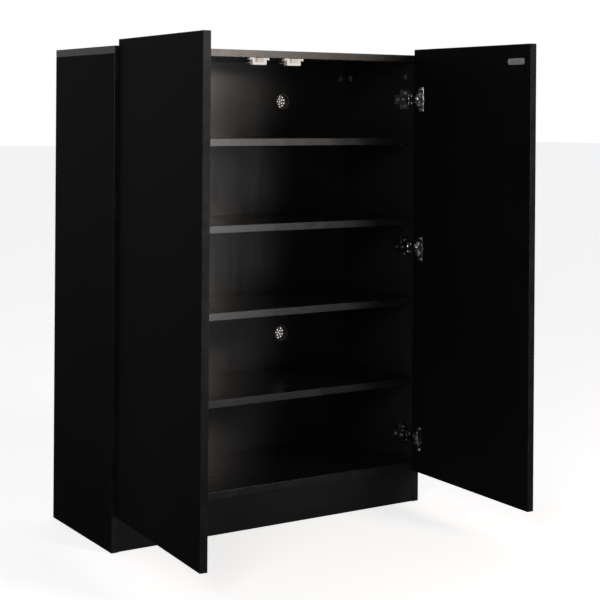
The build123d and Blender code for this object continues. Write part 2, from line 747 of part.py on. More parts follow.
def outer_links(side):
    """A pair of thin cranked cheeks outside the inner link, slotted at the cup end."""
    pivot = Vector(inward(OUTER_ARM_PIVOT[0]), front(OUTER_ARM_PIVOT[1]), 0)
    near_end, far_end = (slot_end(side, opening) - pivot for opening in SLOT_OPENINGS)
    knee = Vector(*door_xy(side, OUTER_KNEE_ACROSS, -OUTER_KNEE_LIFT), 0) - pivot
    slot = far_end - near_end
    slot_angle = math.degrees(math.atan2(slot.Y, slot.X))
    low, high = OUTER_LINK_LIMITS
    with BuildPart() as links:
        for height in HINGE_HEIGHTS.values():
            for level in (height - high, height + low):
                with BuildSketch(Plane(origin=pivot + Vector(0, 0, level))):
                    with BuildLine():
                        Polyline((0, 0), (knee.X, knee.Y), (near_end.X, near_end.Y))
                        offset(amount=OUTER_LINK_THICKNESS / 2)
                    make_face()
                    Circle(OUTER_LINK_EYE)
                    Circle(LINK_PIN_RADIUS + RUNNING_FIT, mode=Mode.SUBTRACT)
                    with Locations((near_end + far_end) / 2):
                        SlotCenterToCenter(slot.length, 2 * OUTER_LINK_EYE, rotation=slot_angle)
                        SlotCenterToCenter(slot.length, 2 * (STUB_RADIUS + SLOT_PLAY),
                                           rotation=slot_angle, mode=Mode.SUBTRACT)
                extrude(amount=high - low)
        mirror_if_right(side)
    return links


# ---- hinge: cabinet side ---------------------------------------------------------------
ARM_CHEEK_LIMITS = (9.3, 10.8)
ARM_TOP = 33.0
ARM_WEB = 1.5
ARM_WEB_START = 12.5
ARM_FOOT = 20.5
ARM_FOOT_START = 21.0
ARM_HEEL = (3.0, 8.0)
ARM_NOSE_RADIUS = 2.4
ARM_NOSE_TIP = (2.2, -1.2)
RAIL_HALF_WIDTH = 8.8
RAIL_TOP = 27.0
RAIL_LIMITS = (20.0, 54.0)
PLATE_LENGTH = 34.0
PLATE_CORNER = 3.0
PLATE_RIB = 4.5
PLATE_RIB_LENGTH = 12.5
PLATE_RIB_CENTRE = 16.5
PLATE_RIB_RISE = 1.6
WING_HALF_HEIGHT = 23.5
WING_THICKNESS = 2.2
ARM_SCREW_DEPTHS = (25.0, 45.0)
ARM_SCREW_RADIUS = 2.0
ARM_SCREW_HEAD = 3.4
ARM_SCREW_RISE = 1.8
ARM_SCREW_TIP = 21.0
PIN_HEAD = 2.3
PIN_HEAD_THICKNESS = 0.7


def arm_outline():
    """The open sketch's outline of one cheek, as seen from above."""
    nose = (inward(OUTER_ARM_PIVOT[0]), front(OUTER_ARM_PIVOT[1]))
    elbow = (inward(INNER_ARM_PIVOT[0]), front(INNER_ARM_PIVOT[1]))
    Polygon(
        (nose[0] - ARM_NOSE_RADIUS, nose[1]),
        (nose[0] + ARM_NOSE_TIP[0], nose[1] + ARM_NOSE_TIP[1]),
        (inward(ARM_TOP), elbow[1] - 1.0),
        (inward(ARM_TOP), front(ARM_REAR)),
        (inward(ARM_FOOT + ARM_HEEL[0]), front(ARM_REAR)),
        (inward(ARM_FOOT), front(ARM_REAR - ARM_HEEL[1])),
        (inward(ARM_FOOT), front(ARM_FOOT_START)),
        align=None,
    )
    with Locations(nose):
        Circle(ARM_NOSE_RADIUS)
    with Locations(elbow):
        Circle(ARM_TOP - INNER_ARM_PIVOT[0])


def hinge_arm(side, height):
    """A steel channel that straddles the plate's rail and carries the link pins."""
    low, high = ARM_CHEEK_LIMITS
    with BuildPart() as arm:
        for level in (height - high, height + low):
            with BuildSketch(FLOOR_PLANE.offset(level)):
                arm_outline()
            extrude(amount=high - low)
        slab((inward(ARM_TOP - ARM_WEB), inward(ARM_TOP)),
             (front(ARM_WEB_START), front(ARM_REAR)), (height - high, height + high))
        for pivot, radius in ((INNER_ARM_PIVOT, ARM_PIN_RADIUS), (OUTER_ARM_PIVOT, LINK_PIN_RADIUS)):
            rod((inward(pivot[0]), front(pivot[1]), height - high - 1), (0, 0, 1),
                radius + PRESS_FIT, 2 * high + 2, Mode.SUBTRACT)
        for depth in ARM_SCREW_DEPTHS:
            rod((inward(ARM_TOP - ARM_WEB - 0.5), front(depth), height), (1, 0, 0),
                ARM_SCREW_RADIUS + 0.3, ARM_WEB + 1, Mode.SUBTRACT)
        mirror_if_right(side)
    return arm


def mounting_plates():
    """Winged plates screwed to the side panels, each with a rail for its arm."""
    with BuildPart() as plates:
        for height in HINGE_HEIGHTS.values():
            wing_plane = Plane(origin=(INNER_X, front(PLATE_DEPTH), height),
                               x_dir=(0, 1, 0), z_dir=(1, 0, 0))
            with BuildSketch(wing_plane):
                RectangleRounded(PLATE_LENGTH, 2 * WING_HALF_HEIGHT, PLATE_CORNER)
            extrude(amount=WING_THICKNESS)
            with BuildSketch(wing_plane.offset(WING_THICKNESS)):
                with GridLocations(PLATE_LENGTH - PLATE_RIB, 2 * PLATE_RIB_CENTRE, 2, 2):
                    RectangleRounded(PLATE_RIB, PLATE_RIB_LENGTH, PLATE_RIB / 3)
            extrude(amount=PLATE_RIB_RISE)
            slab((INNER_X, inward(RAIL_TOP)), (front(RAIL_LIMITS[0]), front(RAIL_LIMITS[1])),
                 (height - RAIL_HALF_WIDTH, height + RAIL_HALF_WIDTH))
            for offset_z in (-PLATE_SCREW_HALF_PITCH, PLATE_SCREW_HALF_PITCH):
                rod((INNER_X, front(PLATE_DEPTH), height + offset_z), (1, 0, 0),
                    WOOD_SCREW_RADIUS + BORE_PLAY, WING_THICKNESS, Mode.SUBTRACT)
            for depth in ARM_SCREW_DEPTHS:
                rod((inward(ARM_SCREW_TIP - 0.5), front(depth), height), (1, 0, 0),
                    ARM_SCREW_RADIUS + PRESS_FIT, RAIL_TOP, Mode.SUBTRACT)
        mirror(about=Plane.YZ)
    return plates


def hinge_screws():
    """Plate screws into the side panels, and the arms' clamp and adjusting screws."""
    with BuildPart() as screws:
        for height in HINGE_HEIGHTS.values():
            for offset_z in (-PLATE_SCREW_HALF_PITCH, PLATE_SCREW_HALF_PITCH):
                seat = (INNER_X + WING_THICKNESS, front(PLATE_DEPTH), height + offset_z)
                rod(seat, (1, 0, 0), CUP_HEAD_RADIUS, ARM_SCREW_RISE)
                rod(seat, (-1, 0, 0), WOOD_SCREW_RADIUS, WING_THICKNESS + WOOD_SCREW_LENGTH)
                cross_recess(Plane(origin=Vector(*seat) + Vector(ARM_SCREW_RISE, 0, 0),
                                   z_dir=(1, 0, 0)))
            for depth in ARM_SCREW_DEPTHS:
                seat = (inward(ARM_TOP), front(depth), height)
                rod(seat, (1, 0, 0), ARM_SCREW_HEAD, ARM_SCREW_RISE)
                rod(seat, (-1, 0, 0), ARM_SCREW_RADIUS, ARM_TOP - ARM_SCREW_TIP)
                cross_recess(Plane(origin=Vector(*seat) + Vector(ARM_SCREW_RISE, 0, 0),
                                   z_dir=(1, 0, 0)), 4.0)
        mirror(about=Plane.YZ)
    return screws


def arm_pins():
    """Riveted pins in the arms: one through pin and a pair of stubs for each hinge."""
    high = ARM_CHEEK_LIMITS[1]
    with BuildPart() as pins:
        for height in HINGE_HEIGHTS.values():
            centre = (inward(INNER_ARM_PIVOT[0]), front(INNER_ARM_PIVOT[1]))
            rod((*centre, height - high), (0, 0, 1), ARM_PIN_RADIUS, 2 * high)
            stub = (inward(OUTER_ARM_PIVOT[0]), front(OUTER_ARM_PIVOT[1]))
            for sign in (-1, 1):
                rod((*centre, height + sign * high), (0, 0, sign), PIN_HEAD, PIN_HEAD_THICKNESS)
                rod((*stub, height + sign * ARM_STUB_START), (0, 0, sign), LINK_PIN_RADIUS,
                    high + PIN_HEAD_THICKNESS - ARM_STUB_START)
        mirror(about=Plane.YZ)
    return pins


# ---- push catches ----------------------------------------------------------------------
HOUSING_HALF_WIDTH = 18.0
HOUSING_HEIGHT = 15.5
HOUSING_LENGTH = 13.0
HOUSING_REAR_WALL = 1.5
HOUSING_ROUND = 2.0
EAR_REACH = 25.0
EAR_THICKNESS = 4.0
EAR_LENGTH = 12.0
EAR_LIP = 1.6
PLUNGER_HALF_WIDTH = 9.0
PLUNGER_HEIGHT = 8.4
PLUNGER_REAR = 11.6
PLUNGER_PLAY = 0.3
PLUNGER_FACE = -0.4
POLE_THICKNESS = 1.0
POLE_HALF_WIDTH = 7.0
POLE_LENGTH = 9.5
POLE_OFFSET = 2.0
MAGNET_COVER = 1.5
TAIL_RADIUS = 2.3
TAIL_END = 40.0
CATCH_AXIS_Z = TOP_UNDERSIDE - 5.6
EAR_SCREW_ACROSS = 20.9
EAR_SCREW_DEPTH = 6.0
EAR_SCREW_RADIUS = 1.6
CATCH_SCREW_REACH = 9.0
CATCH_SCREW_HEAD = 1.5
BARREL_RADIUS = 3.5
BARREL_BORE = 2.7
BARREL_END = 62.0
BARREL_CAP = 2.0
STIRRUP_DEPTH = 56.5
STIRRUP_WIDTH = 4.0
STIRRUP_HALF = 4.6
STIRRUP_THICKNESS = 1.0
STIRRUP_FOOT = 5.0
STIRRUP_SCREW_ACROSS = 7.4
STIRRUP_SCREW_RADIUS = 1.2
SPRING_RADIUS = 2.0
SPRING_WIRE = 0.3
SPRING_GAP = 0.05
SPRING_TURNS = 7


def catch_screw_tops():
    """Across, Y and radius of one catch's screws, measured from its centre line."""
    ear_y = front(CATCH_SETBACK + EAR_SCREW_DEPTH)
    foot_y = front(STIRRUP_DEPTH + STIRRUP_WIDTH / 2)
    return (
        (-EAR_SCREW_ACROSS, ear_y, EAR_SCREW_RADIUS),
        (EAR_SCREW_ACROSS, ear_y, EAR_SCREW_RADIUS),
        (-STIRRUP_SCREW_ACROSS, foot_y, STIRRUP_SCREW_RADIUS),
        (STIRRUP_SCREW_ACROSS, foot_y, STIRRUP_SCREW_RADIUS),
    )


def catch_x(side):
    """The X of a catch's centre line."""
    return -CATCH_CENTRE if side == "left" else CATCH_CENTRE


def catch_housing(side):
    """A plastic block with two screw ears, open at the front for its plunger."""
    x = catch_x(side)
    near = front(CATCH_SETBACK)
    far = front(CATCH_SETBACK + HOUSING_LENGTH)
    low = TOP_UNDERSIDE - HOUSING_HEIGHT
    bore_x = PLUNGER_HALF_WIDTH + PLUNGER_PLAY
    bore_z = PLUNGER_HEIGHT / 2 + PLUNGER_PLAY
    with BuildPart() as housing:
        slab((x - HOUSING_HALF_WIDTH, x + HOUSING_HALF_WIDTH), (near, far),
             (low, TOP_UNDERSIDE))
        lower_edges = housing.edges().filter_by(Axis.Y).group_by(Axis.Z)[0]
        fillet(lower_edges, radius=HOUSING_ROUND)
        slab((x - EAR_REACH, x + EAR_REACH), (near, near + EAR_LENGTH),
             (TOP_UNDERSIDE - EAR_THICKNESS, TOP_UNDERSIDE))
        for sign in (-1, 1):
            lip = sorted((x + sign * EAR_REACH, x + sign * (EAR_REACH - EAR_LIP)))
            slab(lip, (near, near + EAR_LENGTH),
                 (TOP_UNDERSIDE - EAR_THICKNESS - EAR_LIP, TOP_UNDERSIDE - EAR_THICKNESS))
            rod((x + sign * EAR_SCREW_ACROSS, near + EAR_SCREW_DEPTH, low), (0, 0, 1),
                EAR_SCREW_RADIUS + BORE_PLAY, HOUSING_HEIGHT, Mode.SUBTRACT)
        slab((x - bore_x, x + bore_x), (near, far - HOUSING_REAR_WALL),
             (CATCH_AXIS_Z - bore_z, CATCH_AXIS_Z + bore_z), Mode.SUBTRACT)
        rod((x, near, CATCH_AXIS_Z), (0, 1, 0), TAIL_RADIUS + PLUNGER_PLAY,
            HOUSING_LENGTH, Mode.SUBTRACT)
    return housing


def catch_barrels():
    """Closed tubes behind the housings, which hold the springs."""
    start = front(CATCH_SETBACK + HOUSING_LENGTH)
    length = BARREL_END - CATCH_SETBACK - HOUSING_LENGTH
    with BuildPart() as barrels:
        for side in SIDES:
            origin = (catch_x(side), start, CATCH_AXIS_Z)
            rod(origin, (0, 1, 0), BARREL_RADIUS, length)
            rod(origin, (0, 1, 0), BARREL_BORE, length - BARREL_CAP, Mode.SUBTRACT)
    return barrels


def catch_plunger(side):
    """The sliding core: a block that holds the magnet and its poles, with a round tail."""
    x = catch_x(side)
    face = front(PLUNGER_FACE)
    half_z = PLUNGER_HEIGHT / 2
    with BuildPart() as plunger:
        slab((x - PLUNGER_HALF_WIDTH, x + PLUNGER_HALF_WIDTH), (face, front(PLUNGER_REAR)),
             (CATCH_AXIS_Z - half_z, CATCH_AXIS_Z + half_z))
        fill_magnet(side, Mode.SUBTRACT)
        rod((x, front(PLUNGER_REAR), CATCH_AXIS_Z), (0, 1, 0), TAIL_RADIUS,
            TAIL_END - PLUNGER_REAR)
    return plunger


def fill_magnet(side, mode=Mode.ADD):
    """Two pole plates that reach the face, and the magnet between them, in the open part."""
    x = catch_x(side)
    face = front(PLUNGER_FACE)
    across = (x - POLE_HALF_WIDTH, x + POLE_HALF_WIDTH)
    half = POLE_THICKNESS / 2
    for centre in (CATCH_AXIS_Z - POLE_OFFSET, CATCH_AXIS_Z + POLE_OFFSET):
        slab(across, (face, face + POLE_LENGTH), (centre - half, centre + half), mode)
    slab(across, (face + MAGNET_COVER, face + POLE_LENGTH),
         (CATCH_AXIS_Z - POLE_OFFSET + half, CATCH_AXIS_Z + POLE_OFFSET - half), mode)


def catch_magnet(side):
    """A block magnet between two steel pole plates, moulded into the plunger."""
    with BuildPart() as magnet:
        fill_magnet(side)
    return magnet


def catch_springs(side):
    """The return spring between the plunger's tail and the barrel's closed end."""
    start = front(TAIL_END) + SPRING_WIRE + SPRING_GAP
    end = front(BARREL_END - BARREL_CAP) - SPRING_WIRE - SPRING_GAP
    length = end - start
    with BuildPart() as spring:
        with BuildLine() as coil:
            Helix(length / SPRING_TURNS, length, SPRING_RADIUS,
                  center=(catch_x(side), start, CATCH_AXIS_Z), direction=(0, 1, 0))
        with BuildSketch(Plane(origin=coil.line @ 0, z_dir=coil.line % 0)):
            Circle(SPRING_WIRE)
        sweep()
    return spring


def catch_stirrups():
    """U-shaped steel straps under the top that hold the ends of the barrels."""
    bottom = CATCH_AXIS_Z - STIRRUP_HALF
    inner = STIRRUP_HALF - STIRRUP_THICKNESS
    near = front(STIRRUP_DEPTH)
    far = near + STIRRUP_WIDTH
    reach = STIRRUP_HALF + STIRRUP_FOOT
    with BuildPart() as stirrups:
        for side in SIDES:
            x = catch_x(side)
            slab((x - STIRRUP_HALF, x + STIRRUP_HALF), (near, far), (bottom, TOP_UNDERSIDE))
            slab((x - inner, x + inner), (near, far),
                 (bottom + STIRRUP_THICKNESS, TOP_UNDERSIDE), Mode.SUBTRACT)
            for sign in (-1, 1):
                foot = sorted((x + sign * STIRRUP_HALF, x + sign * reach))
                slab(foot, (near, far), (TOP_UNDERSIDE - STIRRUP_THICKNESS, TOP_UNDERSIDE))
                rod((x + sign * STIRRUP_SCREW_ACROSS, near + STIRRUP_WIDTH / 2,
                     TOP_UNDERSIDE - 2 * STIRRUP_THICKNESS), (0, 0, 1),
                    STIRRUP_SCREW_RADIUS + BORE_PLAY, 2 * STIRRUP_THICKNESS, Mode.SUBTRACT)
    return stirrups


def catch_screws():
    """The screws that hold both catches and both stirrups to the top."""
    with BuildPart() as screws:
        for side in SIDES:
            for across, y, radius in catch_screw_tops():
                seat = EAR_THICKNESS if radius == EAR_SCREW_RADIUS else STIRRUP_THICKNESS
                x = catch_x(side) + across
                rod((x, y, TOP_UNDERSIDE - seat), (0, 0, 1), radius, seat + CATCH_SCREW_REACH)
                rod((x, y, TOP_UNDERSIDE - seat), (0, 0, -1), CATCH_SCREW_HEAD * radius,
                    radius / 2)
    return screws


# ---- build and write every piece -------------------------------------------------------
for side_name in SIDES:
    finish(side_panel(side_name), f"side_panel_{side_name}")
    finish(vent_grommets(side_name), f"vent_grommets_{side_name}")
    finish(door_panel(side_name), f"{side_name}_door_panel")
    finish(door_edge_band(side_name), f"{side_name}_door_edge_band")
    finish(strike_plate(side_name), f"{side_name}_strike_plate")
    finish(strike_screws(side_name), f"{side_name}_strike_screws")
    for hinge_name, hinge_height in HINGE_HEIGHTS.items():
        finish(hinge_cup(side_name, hinge_height), f"{side_name}_hinge_cup_{hinge_name}")
        finish(hinge_arm(side_name, hinge_height), f"{side_name}_hinge_arm_{hinge_name}")
    finish(cup_pins(side_name), f"{side_name}_cup_pins")
    finish(cup_screws(side_name), f"{side_name}_cup_screws")
    finish(inner_links(side_name), f"{side_name}_inner_links")
    finish(outer_links(side_name), f"{side_name}_outer_links")
    finish(catch_housing(side_name), f"catch_housing_{side_name}")
    finish(catch_plunger(side_name), f"catch_plunger_{side_name}")
    finish(catch_magnet(side_name), f"catch_magnet_{side_name}")
    finish(catch_springs(side_name), f"catch_spring_{side_name}")

for shelf_index in range(SHELF_COUNT):
    finish(shelf(shelf_index), f"shelf_{shelf_index + 1}")

finish(top_panel(), "top_panel")
finish(bottom_panel(), "bottom_panel")
finish(kick_panel(), "kick_panel")
finish(back_panel(), "back_panel")
finish(carcass_edge_bands(), "carcass_edge_bands")
finish(shelf_edge_bands(), "shelf_edge_bands")
finish(cam_locks(), "cam_locks")
finish(cam_bolts(), "cam_bolts")
finish(wood_dowels(), "wood_dowels")
finish(shelf_pins(), "shelf_pins")
finish(mounting_plates(), "mounting_plates")
finish(hinge_screws(), "hinge_screws")
finish(arm_pins(), "arm_pins")
finish(catch_stirrups(), "catch_stirrups")
finish(catch_barrels(), "catch_barrels")
finish(catch_screws(), "catch_screws")
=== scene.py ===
"""Looks of the shoe cabinet: procedural finishes, softened metal edges, floor, light and camera."""
import bmesh
import bpy
import json
import math
from mathutils import Euler, Matrix, Vector


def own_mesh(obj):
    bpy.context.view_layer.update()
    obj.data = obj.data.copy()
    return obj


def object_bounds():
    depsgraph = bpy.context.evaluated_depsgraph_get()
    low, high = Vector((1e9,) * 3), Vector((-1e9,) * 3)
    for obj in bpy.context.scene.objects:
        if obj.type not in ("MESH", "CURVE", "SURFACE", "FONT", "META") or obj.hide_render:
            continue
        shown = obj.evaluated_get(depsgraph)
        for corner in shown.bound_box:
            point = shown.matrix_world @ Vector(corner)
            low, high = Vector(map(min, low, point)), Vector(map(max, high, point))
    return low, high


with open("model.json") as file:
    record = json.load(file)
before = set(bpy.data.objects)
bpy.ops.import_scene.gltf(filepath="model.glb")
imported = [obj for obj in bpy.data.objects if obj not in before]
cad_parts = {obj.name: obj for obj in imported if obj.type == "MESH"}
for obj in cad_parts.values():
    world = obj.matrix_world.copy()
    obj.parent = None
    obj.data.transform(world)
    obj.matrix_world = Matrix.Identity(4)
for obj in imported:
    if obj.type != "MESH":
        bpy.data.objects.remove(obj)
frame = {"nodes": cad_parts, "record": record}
cad_low, cad_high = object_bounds()

# ---- driving values (metres, radians, linear colours; lens and sensor in millimetres) ----
CAMERA_PLACE = (-1.6711, -2.9166, 0.9168)
CAMERA_YAW = -0.5446
CAMERA_PITCH = -0.0017
CAMERA_ROLL = 0.0070
CAMERA_LENS = 84.18
SENSOR = 36.0
CAMERA_SHIFT = (0.0925, -0.3113)

FLOOR_SIZE = 60.0
FLOOR_GLOW = 0.72
FLOOR_DARK = (0.86, 0.86, 0.86)
FLOOR_LIGHT = (0.88, 0.88, 0.88)
DOME_RADIUS = 42.0
DOME_COLOUR = (1.0, 1.0, 1.0)
DOME_SUBDIVISIONS = 4

# world: radiance towards the ground, at the horizon and overhead
WORLD_LOW = (0.02, 0.02, 0.022)
WORLD_HORIZON = (0.50, 0.51, 0.52)
WORLD_HIGH = (0.42, 0.42, 0.44)
# where the first two sit on a scale from straight down (0) to straight up (1)
WORLD_LOW_AT = 0.40
WORLD_HORIZON_AT = 0.55
# share of that radiance in front of the cabinet and behind it
WORLD_FRONT = 0.16
WORLD_BEHIND = 1.0
# direction along Y at which the change starts and ends
WORLD_SHARE_START = -0.1
WORLD_SHARE_END = 0.7

# name: place, aim, width, height, radiance, colour
LIGHTS = {
    "high_softbox": (
        (1.60, -3.6, 1.62), (0.0, -0.1, 0.85), 0.9, 0.8, 14.0, (1.0, 0.85, 0.74)),
    "tall_fill": (
        (0.86, -2.4, 0.55), (-0.1, -0.1, 0.55), 0.28, 1.1, 9.0, (0.97, 0.98, 1.0)),
    "left_softbox": (
        (-2.7, -2.9, 1.7), (0.35, -0.3, 0.6), 1.1, 1.1, 9.0, (1.0, 0.97, 0.95)),
}

MILLIMETRE = 0.001
FLOOR_DROP = 0.5 * MILLIMETRE


# ---- material helpers --------------------------------------------------------------------
class Finish:
    """A node material built around one Principled shader, in object coordinates."""

    def __init__(self, name):
        self.material = bpy.data.materials.new(name)
        self.material.use_nodes = True
        self.tree = self.material.node_tree
        self.shader = self.tree.nodes["Principled BSDF"]
        self.place = self.tree.nodes.new("ShaderNodeTexCoord").outputs["Object"]

    def set(self, **values):
        """Set the shader's own sockets; underscores in a keyword stand for spaces."""
        for socket, value in values.items():
            self.shader.inputs[socket.replace("_", " ")].default_value = value
        return self

    def link(self, source, target):
        self.tree.links.new(source, target)

    def stretched(self, scale):
        """Object coordinates scaled along each axis."""
        mapping = self.tree.nodes.new("ShaderNodeMapping")
        mapping.inputs["Scale"].default_value = scale
        self.link(self.place, mapping.inputs["Vector"])
        return mapping.outputs["Vector"]

    def noise(self, scale=1.0, detail=4.0, roughness=0.55, vector=None):
        """A noise value over the given coordinates."""
        node = self.tree.nodes.new("ShaderNodeTexNoise")
        node.inputs["Scale"].default_value = scale
        node.inputs["Detail"].default_value = detail
        node.inputs["Roughness"].default_value = roughness
        self.link(vector or self.place, node.inputs["Vector"])
        return node.outputs["Fac"]

    def cells(self, scale):
        """Distance to the nearest of scattered points."""
        node = self.tree.nodes.new("ShaderNodeTexVoronoi")
        node.inputs["Scale"].default_value = scale
        self.link(self.place, node.inputs["Vector"])
        return node.outputs["Distance"]

    def ramp(self, value, low, high, start=0.3, end=0.7):
        """A value turned into a colour between two colours."""
        node = self.tree.nodes.new("ShaderNodeValToRGB")
        node.color_ramp.elements[0].position = start
        node.color_ramp.elements[0].color = (*low, 1.0)
        node.color_ramp.elements[1].position = end
        node.color_ramp.elements[1].color = (*high, 1.0)
        self.link(value, node.inputs["Fac"])
        return node.outputs["Color"]

    def spread(self, value, low, high, start=0.3, end=0.7):
        """A value mapped between two numbers."""
        node = self.tree.nodes.new("ShaderNodeMapRange")
        node.inputs["From Min"].default_value = start
        node.inputs["From Max"].default_value = end
        node.inputs["To Min"].default_value = low
        node.inputs["To Max"].default_value = high
        self.link(value, node.inputs["Value"])
        return node.outputs["Result"]

    def blend(self, first, second, share):
        """Two values mixed by a constant share."""
        node = self.tree.nodes.new("ShaderNodeMix")
        node.inputs["Factor"].default_value = share
        self.link(first, node.inputs["A"])
        self.link(second, node.inputs["B"])
        return node.outputs["Result"]

    def relief(self, *layers):
        """Bumps laid over each other: (height value, depth in metres) pairs."""
        previous = None
        for height, depth in layers:
            node = self.tree.nodes.new("ShaderNodeBump")
            node.inputs["Distance"].default_value = depth
            self.link(height, node.inputs["Height"])
            if previous:
                self.link(previous, node.inputs["Normal"])
            previous = node.outputs["Normal"]
        self.link(previous, self.shader.inputs["Normal"])
        return self

    def colour(self, source):
        self.link(source, self.shader.inputs["Base Color"])
        return self

    def roughness(self, source):
        self.link(source, self.shader.inputs["Roughness"])
        return self


def laminate(name, dark, light, level, rough, along):
    """Near-black melamine board: a fine pored emboss, faint grain and cloudy gloss."""
    finish = Finish(name).set(**{"Specular IOR Level": level})
    grain_scale = tuple(6.0 if axis == along else 220.0 for axis in "xyz")
    grain = finish.noise(detail=5.0, roughness=0.6, vector=finish.stretched(grain_scale))
    cloud = finish.noise(scale=3.5, detail=3.0, roughness=0.5)
    pores = finish.cells(900.0)
    peel = finish.noise(scale=260.0, detail=2.0, roughness=0.5)
    finish.colour(finish.ramp(finish.blend(grain, cloud, 0.5), dark, light,
                              start=0.35, end=0.65))
    finish.roughness(finish.spread(finish.blend(grain, cloud, 0.6), rough - 0.05, rough + 0.06))
    finish.relief((peel, 0.03 * MILLIMETRE), (pores, 0.02 * MILLIMETRE))
    return finish.material


def edge_band(name, level):
    """Thin plastic strip: smoother than the boards, with rubbed streaks along its length."""
    finish = Finish(name).set(**{"Specular IOR Level": level})
    streak = finish.noise(detail=6.0, roughness=0.65,
                          vector=finish.stretched((14.0, 40.0, 60.0)))
    smudge = finish.noise(scale=24.0, roughness=0.6)
    fleck = finish.noise(scale=420.0, detail=2.0, roughness=0.5)
    finish.colour(finish.ramp(smudge, (0.0042, 0.0041, 0.0040), (0.0085, 0.0080, 0.0078)))
    finish.roughness(finish.spread(finish.blend(streak, smudge, 0.6), 0.23, 0.33))
    finish.relief((streak, 0.02 * MILLIMETRE), (fleck, 0.004 * MILLIMETRE))
    return finish.material


def plated(name, dark, light, rough, scratch_scale):
    """Plated steel: a bright metal with drawn lines, dulled patches and tiny pits."""
    finish = Finish(name).set(Metallic=1.0)
    drawn = finish.noise(detail=6.0, roughness=0.7, vector=finish.stretched(scratch_scale))
    patch = finish.noise(scale=160.0, detail=3.0)
    pits = finish.cells(1400.0)
    finish.colour(finish.ramp(finish.blend(drawn, patch, 0.5), dark, light))
    finish.roughness(finish.spread(finish.blend(drawn, patch, 0.6), rough - 0.05, rough + 0.07))
    finish.relief((drawn, 0.006 * MILLIMETRE), (pits, 0.003 * MILLIMETRE))
    return finish.material


def moulded(name, dark, light, rough, level):
    """Moulded plastic: a spark-eroded texture, soft colour drift and a touch of flow lines."""
    finish = Finish(name).set(**{"Specular IOR Level": level})
    drift = finish.noise(scale=45.0, detail=3.0, roughness=0.5)
    texture = finish.noise(scale=1500.0, detail=2.0, roughness=0.5)
    flow = finish.noise(detail=3.0, roughness=0.5,
                        vector=finish.stretched((60.0, 220.0, 60.0)))
    finish.colour(finish.ramp(finish.blend(drift, flow, 0.4), dark, light))
    finish.roughness(finish.spread(drift, rough - 0.05, rough + 0.08))
    finish.relief((flow, 0.02 * MILLIMETRE), (texture, 0.012 * MILLIMETRE))
    return finish.material


def lacquered(name, dark, light, rough):
    """Thin metallic lacquer with fine flakes and orange peel."""
    finish = Finish(name).set(Metallic=0.75)
    flake = finish.cells(2600.0)
    peel = finish.noise(scale=420.0, detail=2.0, roughness=0.5)
    patch = finish.noise(scale=90.0, roughness=0.6)
    finish.colour(finish.ramp(finish.blend(flake, patch, 0.5), dark, light))
    finish.roughness(finish.spread(patch, rough - 0.06, rough + 0.1))
    finish.relief((peel, 0.03 * MILLIMETRE))
    return finish.material


def beech(name):
    """Fluted beech, with grain and short rays along the dowel."""
    finish = Finish(name).set(**{"Specular IOR Level": 0.3})
    grain = finish.noise(detail=6.0, roughness=0.6,
                         vector=finish.stretched((60.0, 700.0, 700.0)))
    finish.colour(finish.ramp(grain, (0.36, 0.21, 0.10), (0.62, 0.42, 0.22)))
    finish.roughness(finish.spread(grain, 0.5, 0.7))
    finish.relief((grain, 0.1 * MILLIMETRE))
    return finish.material


# ---- finishes ----------------------------------------------------------------------------
BOARD_DARK = (0.0032, 0.0031, 0.0030)
BOARD_LIGHT = (0.0050, 0.0049, 0.0048)
# Painted light: the interior boards (back panel, right side, top, bottom and shelves) are the same
# black melamine as the outside boards. Their colour is painted about three times lighter to stand
# in for light inside the cabinet.
PAINTED_LIT_INSIDE_DARK = (0.0095, 0.0093, 0.0090)
PAINTED_LIT_INSIDE_LIGHT = (0.0135, 0.0132, 0.0128)
KICK_DARK = (0.0042, 0.0042, 0.0043)
KICK_LIGHT = (0.0066, 0.0066, 0.0067)
# how finely a plated piece's drawn lines repeat along each axis
DRAWN_LINES = (900.0, 300.0, 900.0)

outside_board = laminate("outside_board", BOARD_DARK, BOARD_LIGHT, 0.02, 0.46, "z")
# the inside, flat and side boards below carry that painted-light interior colour
inside_board = laminate("inside_board", PAINTED_LIT_INSIDE_DARK, PAINTED_LIT_INSIDE_LIGHT, 0.60, 0.22, "z")
flat_board = laminate("flat_board", PAINTED_LIT_INSIDE_DARK, PAINTED_LIT_INSIDE_LIGHT, 0.50, 0.26, "x")
side_board = laminate("side_board", PAINTED_LIT_INSIDE_DARK, PAINTED_LIT_INSIDE_LIGHT, 0.10, 0.40, "z")
kick_board = laminate("kick_board", KICK_DARK, KICK_LIGHT, 0.22, 0.40, "x")

SLOT_FINISH = {
    "black_board": outside_board,
    "barrel_plastic": moulded("dark_plastic", (0.010, 0.010, 0.011), (0.020, 0.020, 0.021),
                              0.40, 0.4),
    "black_edge_band": edge_band("carcass_band", 0.66),
    "hinge_steel": plated("nickel_plate", (0.62, 0.61, 0.60), (0.88, 0.87, 0.86), 0.12,
                          DRAWN_LINES),
    "plated_screws": plated("zinc_plate", (0.52, 0.52, 0.52), (0.80, 0.80, 0.79), 0.26,
                            (1200.0, 1200.0, 1200.0)),
    "zinc_fittings": plated("die_cast_zinc", (0.50, 0.50, 0.51), (0.74, 0.74, 0.74), 0.30,
                            (700.0, 700.0, 700.0)),
    "vent_metal": lacquered("bronze_lacquer", (0.11, 0.080, 0.060), (0.24, 0.185, 0.145), 0.36),
    "catch_plastic": moulded("white_plastic", (0.74, 0.70, 0.65), (0.84, 0.81, 0.77), 0.38, 0.45),
    "catch_steel": plated("rolled_steel", (0.40, 0.40, 0.40), (0.62, 0.61, 0.60), 0.34,
                          (2000.0, 120.0, 120.0)),
    "magnet": lacquered("ferrite", (0.020, 0.020, 0.021), (0.055, 0.054, 0.053), 0.45),
    "dowel_wood": beech("beech_wood"),
}
door_band = edge_band("door_band", 0.28)
